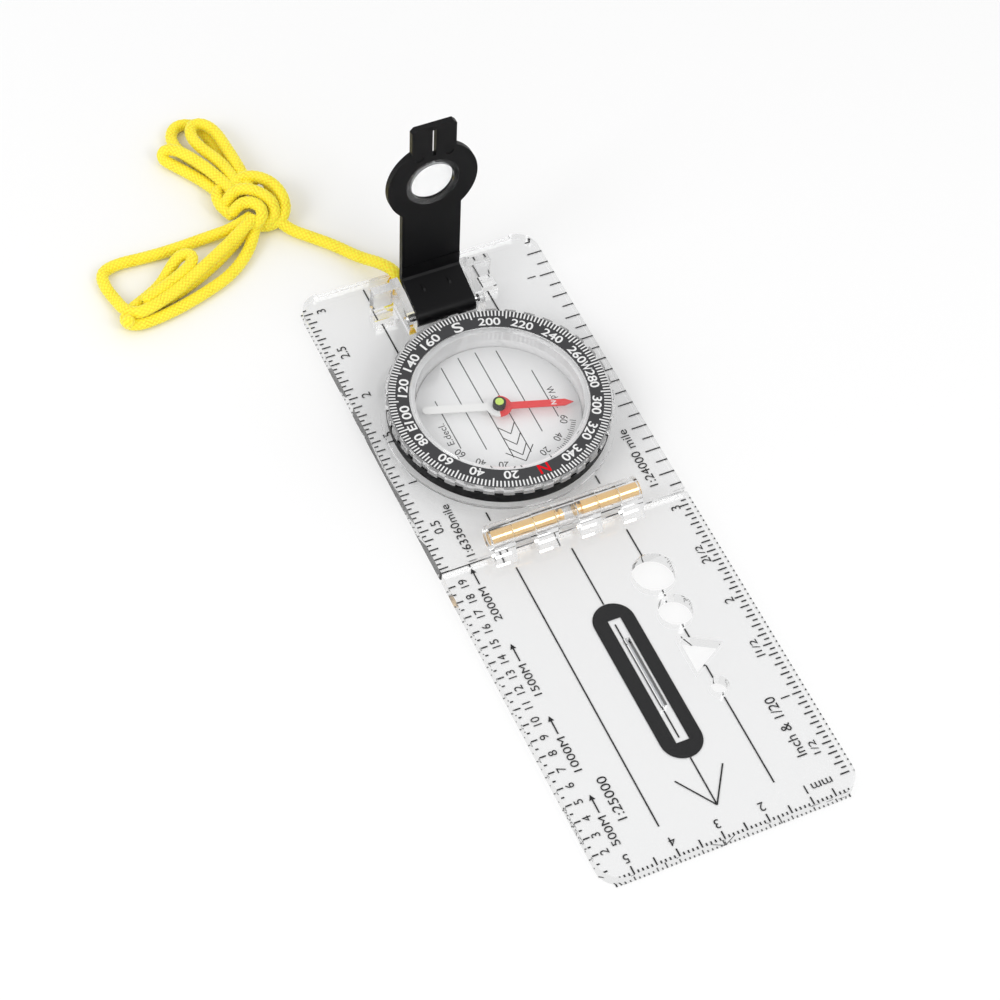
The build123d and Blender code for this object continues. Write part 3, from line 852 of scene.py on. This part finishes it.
def spline_points(route):
    """Points, in millimetres, along the smooth line that the route's points control."""
    data = bpy.data.curves.new("route", "CURVE")
    data.dimensions = "3D"
    data.resolution_u = 24
    spline = data.splines.new("NURBS")
    spline.points.add(len(route) - 1)
    for point, place in zip(spline.points, route):
        point.co = (*(Vector(place) * MM), 1.0)
    spline.order_u = 3
    spline.use_endpoint_u = True
    holder = bpy.data.objects.new("route", data)
    bpy.context.scene.collection.objects.link(holder)
    bpy.context.view_layer.update()
    line = bpy.data.meshes.new_from_object(holder)
    points = np.array([vertex.co for vertex in line.vertices]) / MM
    bpy.data.objects.remove(holder)
    bpy.data.curves.remove(data)
    bpy.data.meshes.remove(line)
    return points


def even_points(points, step):
    """The same line with points an even step apart, and their distances along it."""
    runs = np.linalg.norm(np.diff(points, axis=0), axis=1)
    distance = np.concatenate([[0.0], np.cumsum(runs)])
    count = max(8, int(distance[-1] / step))
    at = np.linspace(0, distance[-1], count)
    return np.stack([np.interp(at, distance, points[:, k]) for k in range(3)], 1), at


def carried_frames(points):
    """A pair of side directions at each point, carried along without twist."""
    tangents = np.gradient(points, axis=0)
    tangents /= np.linalg.norm(tangents, axis=1)[:, None]
    side = np.cross(tangents[0], (0.0, 0.0, 1.0))
    if np.linalg.norm(side) < 0.3:
        side = np.cross(tangents[0], (1.0, 0.0, 0.0))
    sides = []
    for tangent in tangents:
        side = side - tangent * side.dot(tangent)
        side /= np.linalg.norm(side)
        sides.append(side)
    sides = np.array(sides)
    return sides, np.cross(tangents, sides)


def braid_height(around, along):
    """Height, from 0 to 1, of a plain braid; around and along count its strands."""
    first = around + along
    second = around - along
    over = (np.floor(first) + np.floor(second)) % 2 < 1
    across = np.where(over, first, second) % 1.0
    lengthwise = np.where(over, second, first) % 1.0
    round_top = np.sqrt(np.clip(1 - (2 * across - 1) ** 2, 0, 1))
    dip = 1 - STRAND_DIP * (2 * lengthwise - 1) ** 2
    return round_top * dip


def ring_quads(rings):
    """Faces that join each ring of a tube to the next."""
    row = np.arange(rings - 1)[:, None] * AROUND_STEPS
    next_row = row + AROUND_STEPS
    here = np.arange(AROUND_STEPS)[None, :]
    beside = (here + 1) % AROUND_STEPS
    quads = np.stack([row + here, row + beside, next_row + beside, next_row + here], -1)
    return quads.reshape(-1, 4)


def tube_arrays(route, offset):
    """Vertices, faces, heights and centreline of a braided tube, numbered from offset."""
    points, distance = even_points(spline_points(route), ALONG_STEP)
    sides, ups = carried_frames(points)
    angle = np.arange(AROUND_STEPS) * 2 * math.pi / AROUND_STEPS
    strands_each_way = STRANDS / 2
    around = angle / (2 * math.pi) * strands_each_way
    along = distance / STRAND_PITCH * strands_each_way
    height = braid_height(around[None, :], along[:, None])
    radius = CORD_DIAMETER / 2 - RIDGE_DEPTH * (1 - height)
    ends = np.minimum(distance, distance[-1] - distance)
    radius *= np.sqrt(np.clip(ends / END_ROUNDING, END_TAPER, 1))[:, None]
    ring = (
        sides[:, None, :] * np.cos(angle)[None, :, None]
        + ups[:, None, :] * np.sin(angle)[None, :, None]
    )
    verts = points[:, None, :] + ring * radius[:, :, None]
    quads = ring_quads(len(points)) + offset
    return verts.reshape(-1, 3) * MM, quads, height.ravel(), points * MM


def braided_piece(name, routes):
    """One mesh of braided cord along one or more routes; also the last centreline."""
    verts, quads, heights = [], [], []
    offset = 0
    for route in routes:
        tube, faces, height, line = tube_arrays(route, offset)
        offset += len(tube)
        verts.append(tube)
        quads.append(faces)
        heights.append(height)
    made = braid_object(name, np.concatenate(verts), np.concatenate(quads), np.concatenate(heights))
    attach(made, "base")
    return made, line


def braid_object(name, verts, quads, heights):
    """Smooth mesh object that carries the strands' height, which drives the painted shade in the yarn's
    grooves.
    """
    data = bpy.data.meshes.new(name)
    data.from_pydata(verts.tolist(), [], quads.tolist())
    shade = data.attributes.new("strand_height", "FLOAT", "POINT")
    shade.data.foreach_set("value", heights.astype(np.float32))
    data.polygons.foreach_set("use_smooth", [True] * len(data.polygons))
    data.materials.append(YARN)
    made = bpy.data.objects.new(name, data)
    bpy.context.scene.collection.objects.link(made)
    return made


def make_lanyard():
    """The knot, the lead from the base plate to it and the loops above and below it."""
    knot, _ = braided_piece("lanyard_knot_wraps", KNOT_WRAPS)
    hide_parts("lanyard_knot")
    lead, line = braided_piece("lanyard_lead_cord", [LEAD_ROUTE])
    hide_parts("lanyard_lead")
    for loops, hank in ((UPPER_LOOPS, "lanyard_upper_hank"), (LOWER_LOOPS, "lanyard_lower_hank")):
        for name, route in loops.items():
            loop, line = braided_piece(name, [route])
            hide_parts(hank)


make_lanyard()

# ---------------------------------------------------------------- studio

WORLD_STRENGTH = 0.85
LIGHT_BOUNCES = 32


def make_floor():
    """Large sheet of pale paper just under the plates."""
    data = bpy.data.meshes.new("floor")
    size = 3.0
    level = -0.15 * MM
    data.from_pydata(
        [(-size, -size, level), (size, -size, level), (size, size, level), (-size, size, level)],
        [],
        [(0, 1, 2, 3)],
    )
    data.materials.append(new_material("floor_paper", (0.93, 0.93, 0.93), 0.9))
    floor = bpy.data.objects.new("floor", data)
    bpy.context.scene.collection.objects.link(floor)


def make_lamp(name, place, target, size, watts):
    """Square soft light that faces its target."""
    data = bpy.data.lights.new(name, "AREA")
    data.size = size
    data.energy = watts
    lamp = bpy.data.objects.new(name, data)
    bpy.context.scene.collection.objects.link(lamp)
    lamp.location = place
    lamp.rotation_euler = (Vector(target) - Vector(place)).to_track_quat("-Z", "Y").to_euler()


def make_world():
    """Even white light from all round."""
    world = bpy.data.worlds.new("studio")
    bpy.context.scene.world = world
    world.use_nodes = True
    background = world.node_tree.nodes["Background"]
    background.inputs["Color"].default_value = (1.0, 1.0, 1.0, 1.0)
    background.inputs["Strength"].default_value = WORLD_STRENGTH


make_floor()
make_world()
make_lamp("softbox_side", place=(0.75, 0.1, 0.65), target=(0, 0.03, 0), size=0.4, watts=2.0)
make_lamp("softbox_front", place=(-0.3, 0.63, 0.73), target=(0, 0, 0), size=0.35, watts=1.6)
bpy.context.scene.view_settings.view_transform = "Standard"
bpy.context.scene.cycles.max_bounces = LIGHT_BOUNCES
bpy.context.scene.cycles.transmission_bounces = LIGHT_BOUNCES
bpy.context.scene.cycles.transparent_max_bounces = LIGHT_BOUNCES
